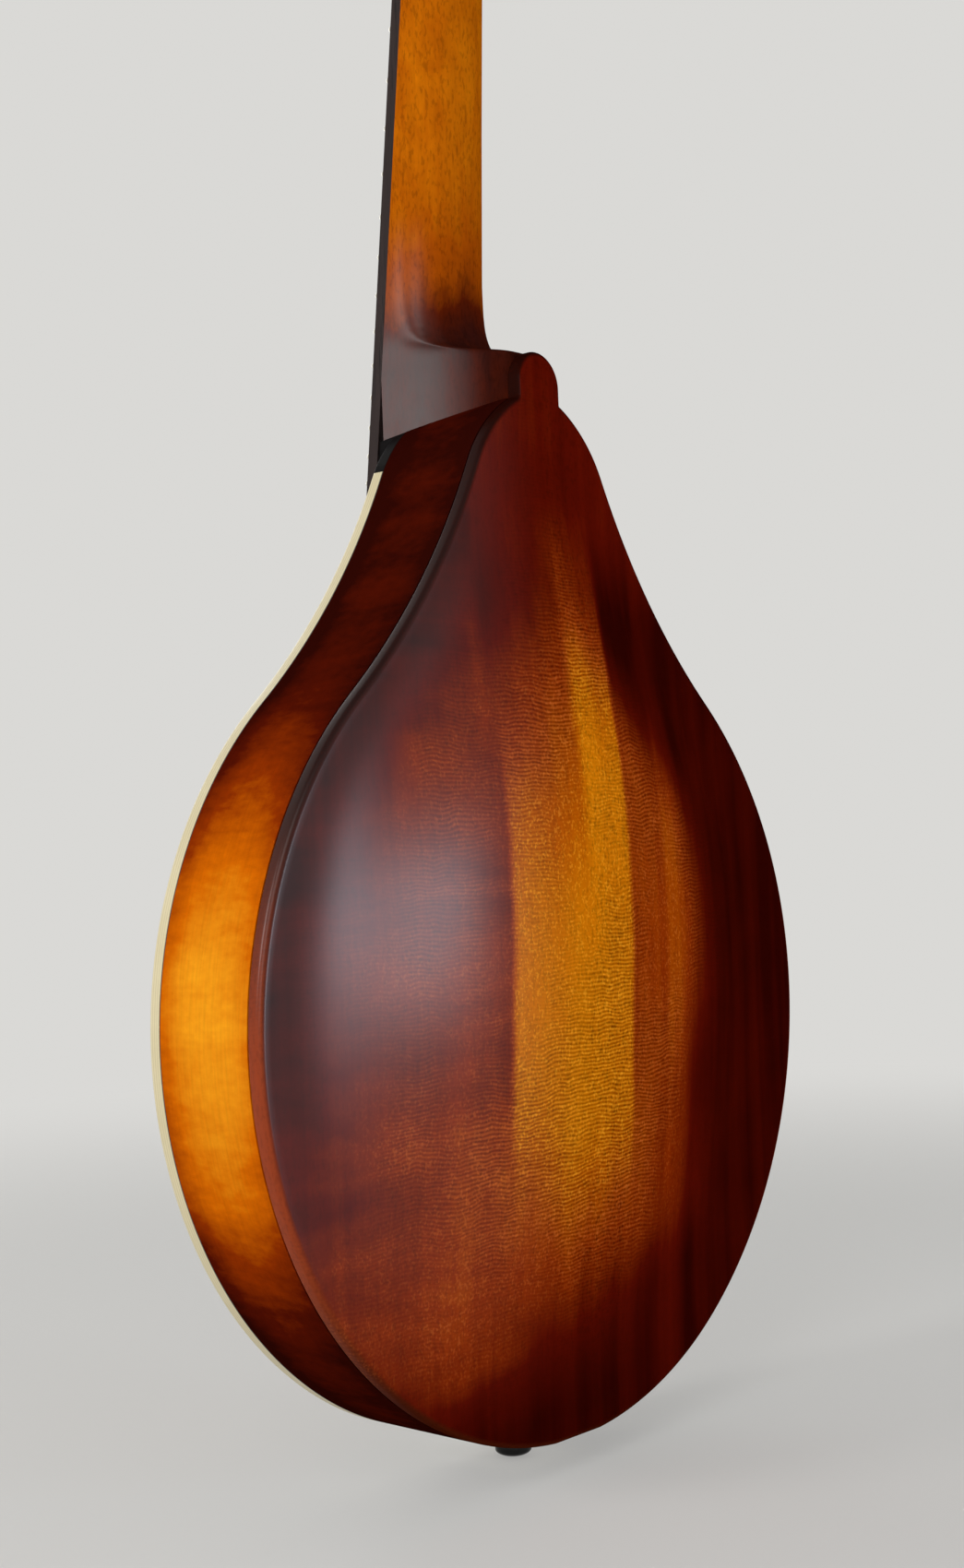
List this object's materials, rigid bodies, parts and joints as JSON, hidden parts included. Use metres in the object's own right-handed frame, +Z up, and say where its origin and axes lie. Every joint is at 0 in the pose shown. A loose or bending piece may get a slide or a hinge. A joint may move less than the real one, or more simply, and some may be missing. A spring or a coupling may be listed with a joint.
{
  "type": "mandolin",
  "caption": "Teardrop mandolin with arched top and back, f-holes, a long neck, geared tuners, an adjustable bridge, a tailpiece and a strap button.",
  "frame": {"origin": "middle of the straight band round the strap button's head, on the tail", "axes": "+Z up the body and neck, -Y out of the string side, +X towards the treble side"},
  "size_m": [0.254, 0.1057, 0.6657],
  "materials": {
    "top_finish": "satin",
    "back_finish": "satin",
    "rib_finish": "satin",
    "neck_finish": "satin",
    "ivory_binding": "satin",
    "raw_spruce": "raw",
    "ebony": "satin",
    "fretboard_wood": "oiled",
    "black_lacquer": "gloss",
    "fret_metal": "polished",
    "dot_inlay": "polished",
    "bone": "satin",
    "rod_steel": "plain",
    "black_plastic": "gloss",
    "nickel_plate": "polished",
    "steel": "satin",
    "string_steel": "polished",
    "string_bronze": "wound",
    "brass_nut": "plain",
    "cream_button": "polished"
  },
  "bodies": {
    "mandolin": {"soundboard": "top_finish", "back_plate": "back_finish", "side_treble": "rib_finish", "side_bass": "rib_finish", "top_binding": "ivory_binding", "linings": "raw_spruce", "neck_block": "raw_spruce", "tail_block": "raw_spruce", "tone_bars": "raw_spruce", "neck": "neck_finish", "fretboard_support": "ebony", "headstock_overlay": "black_lacquer", "fretboard": "fretboard_wood", "frets": "fret_metal", "fret_dots": "dot_inlay", "nut": "bone", "truss_rod": "rod_steel", "truss_rod_cover": "black_plastic", "tuner_plate_treble": "nickel_plate", "tuner_plate_bass": "nickel_plate", "headstock_screws": "nickel_plate", "post_bushings": "nickel_plate", "bridge_base": "ebony", "bridge_studs": "steel", "tailpiece": "nickel_plate", "tailpiece_screws": "nickel_plate", "strap_button": "black_plastic", "strings_plain": "string_steel", "strings_wound": "string_bronze"},
    "truss_nut": {"truss_rod_nut": "brass_nut"},
    "bridge": {"bridge_saddle": "ebony"},
    "wheel_treble": {"thumbwheel_treble": "nickel_plate"},
    "wheel_bass": {"thumbwheel_bass": "nickel_plate"},
    "key_1": {"tuning_button_1": "cream_button", "worm_shaft_1": "steel"},
    "key_2": {"tuning_button_2": "cream_button", "worm_shaft_2": "steel"},
    "key_3": {"tuning_button_3": "cream_button", "worm_shaft_3": "steel"},
    "key_4": {"tuning_button_4": "cream_button", "worm_shaft_4": "steel"},
    "key_5": {"tuning_button_5": "cream_button", "worm_shaft_5": "steel"},
    "key_6": {"tuning_button_6": "cream_button", "worm_shaft_6": "steel"},
    "key_7": {"tuning_button_7": "cream_button", "worm_shaft_7": "steel"},
    "key_8": {"tuning_button_8": "cream_button", "worm_shaft_8": "steel"},
    "post_1": {"string_post_1": "nickel_plate"},
    "post_2": {"string_post_2": "nickel_plate"},
    "post_3": {"string_post_3": "nickel_plate"},
    "post_4": {"string_post_4": "nickel_plate"},
    "post_5": {"string_post_5": "nickel_plate"},
    "post_6": {"string_post_6": "nickel_plate"},
    "post_7": {"string_post_7": "nickel_plate"},
    "post_8": {"string_post_8": "nickel_plate"}
  },
  "joints": [
    {"name": "bridge_height", "type": "slide", "parent": "mandolin", "child": "bridge", "axis": [0, -1, 0], "range_m": [-0.001, 0.003], "deforming": ["strings_plain", "strings_wound"]},
    {"name": "wheel_treble_turn", "type": "hinge", "parent": "bridge", "child": "wheel_treble", "pos_m": [0.032, -0.0374, 0.1647], "axis": [0, -1, 0], "range_deg": [-515.29, 1543.86]},
    {"name": "wheel_bass_turn", "type": "hinge", "parent": "bridge", "child": "wheel_bass", "pos_m": [-0.032, -0.0374, 0.1647], "axis": [0, -1, 0], "range_deg": [-515.29, 1543.86]},
    {"name": "truss_nut_turn", "type": "hinge", "parent": "mandolin", "child": "truss_nut", "pos_m": [0, -0.00148, 0.51994], "axis": [0, 0.0941, 0.9956], "range_deg": [-180, 180]},
    {"name": "post_1_turn", "type": "hinge", "parent": "mandolin", "child": "post_1", "pos_m": [0.0195, 0.00573, 0.55139], "axis": [0, 0.9432, -0.3322], "continuous": true},
    {"name": "post_2_turn", "type": "hinge", "parent": "mandolin", "child": "post_2", "pos_m": [0.0195, 0.01337, 0.57309], "axis": [0, 0.9432, -0.3322], "continuous": true},
    {"name": "post_3_turn", "type": "hinge", "parent": "mandolin", "child": "post_3", "pos_m": [0.0195, 0.02101, 0.59478], "axis": [0, 0.9432, -0.3322], "continuous": true},
    {"name": "post_4_turn", "type": "hinge", "parent": "mandolin", "child": "post_4", "pos_m": [0.0195, 0.02865, 0.61647], "axis": [0, 0.9432, -0.3322], "continuous": true},
    {"name": "post_5_turn", "type": "hinge", "parent": "mandolin", "child": "post_5", "pos_m": [-0.0195, 0.00573, 0.55139], "axis": [0, 0.9432, -0.3322], "continuous": true},
    {"name": "post_6_turn", "type": "hinge", "parent": "mandolin", "child": "post_6", "pos_m": [-0.0195, 0.01337, 0.57309], "axis": [0, 0.9432, -0.3322], "continuous": true},
    {"name": "post_7_turn", "type": "hinge", "parent": "mandolin", "child": "post_7", "pos_m": [-0.0195, 0.02101, 0.59478], "axis": [0, 0.9432, -0.3322], "continuous": true},
    {"name": "post_8_turn", "type": "hinge", "parent": "mandolin", "child": "post_8", "pos_m": [-0.0195, 0.02865, 0.61647], "axis": [0, 0.9432, -0.3322], "continuous": true},
    {"name": "key_1_turn", "type": "hinge", "parent": "mandolin", "child": "key_1", "pos_m": [0.0195, 0.02081, 0.53881], "axis": [1, 0, 0], "continuous": true},
    {"name": "key_2_turn", "type": "hinge", "parent": "mandolin", "child": "key_2", "pos_m": [0.0195, 0.02845, 0.56051], "axis": [1, 0, 0], "continuous": true},
    {"name": "key_3_turn", "type": "hinge", "parent": "mandolin", "child": "key_3", "pos_m": [0.0195, 0.03609, 0.5822], "axis": [1, 0, 0], "continuous": true},
    {"name": "key_4_turn", "type": "hinge", "parent": "mandolin", "child": "key_4", "pos_m": [0.0195, 0.04373, 0.6039], "axis": [1, 0, 0], "continuous": true},
    {"name": "key_5_turn", "type": "hinge", "parent": "mandolin", "child": "key_5", "pos_m": [-0.0195, 0.02081, 0.53881], "axis": [1, 0, 0], "continuous": true},
    {"name": "key_6_turn", "type": "hinge", "parent": "mandolin", "child": "key_6", "pos_m": [-0.0195, 0.02845, 0.56051], "axis": [1, 0, 0], "continuous": true},
    {"name": "key_7_turn", "type": "hinge", "parent": "mandolin", "child": "key_7", "pos_m": [-0.0195, 0.03609, 0.5822], "axis": [1, 0, 0], "continuous": true},
    {"name": "key_8_turn", "type": "hinge", "parent": "mandolin", "child": "key_8", "pos_m": [-0.0195, 0.04373, 0.6039], "axis": [1, 0, 0], "continuous": true}
  ],
  "couplings": [
    {"joint": "wheel_treble_turn", "follows": "bridge_height", "rad_per_m": 8976},
    {"joint": "wheel_bass_turn", "follows": "bridge_height", "rad_per_m": 8976},
    {"joint": "key_1_turn", "follows": "post_1_turn", "ratio": 14},
    {"joint": "key_2_turn", "follows": "post_2_turn", "ratio": 14},
    {"joint": "key_3_turn", "follows": "post_3_turn", "ratio": 14},
    {"joint": "key_4_turn", "follows": "post_4_turn", "ratio": 14},
    {"joint": "key_5_turn", "follows": "post_5_turn", "ratio": 14},
    {"joint": "key_6_turn", "follows": "post_6_turn", "ratio": 14},
    {"joint": "key_7_turn", "follows": "post_7_turn", "ratio": 14},
    {"joint": "key_8_turn", "follows": "post_8_turn", "ratio": 14}
  ]
}
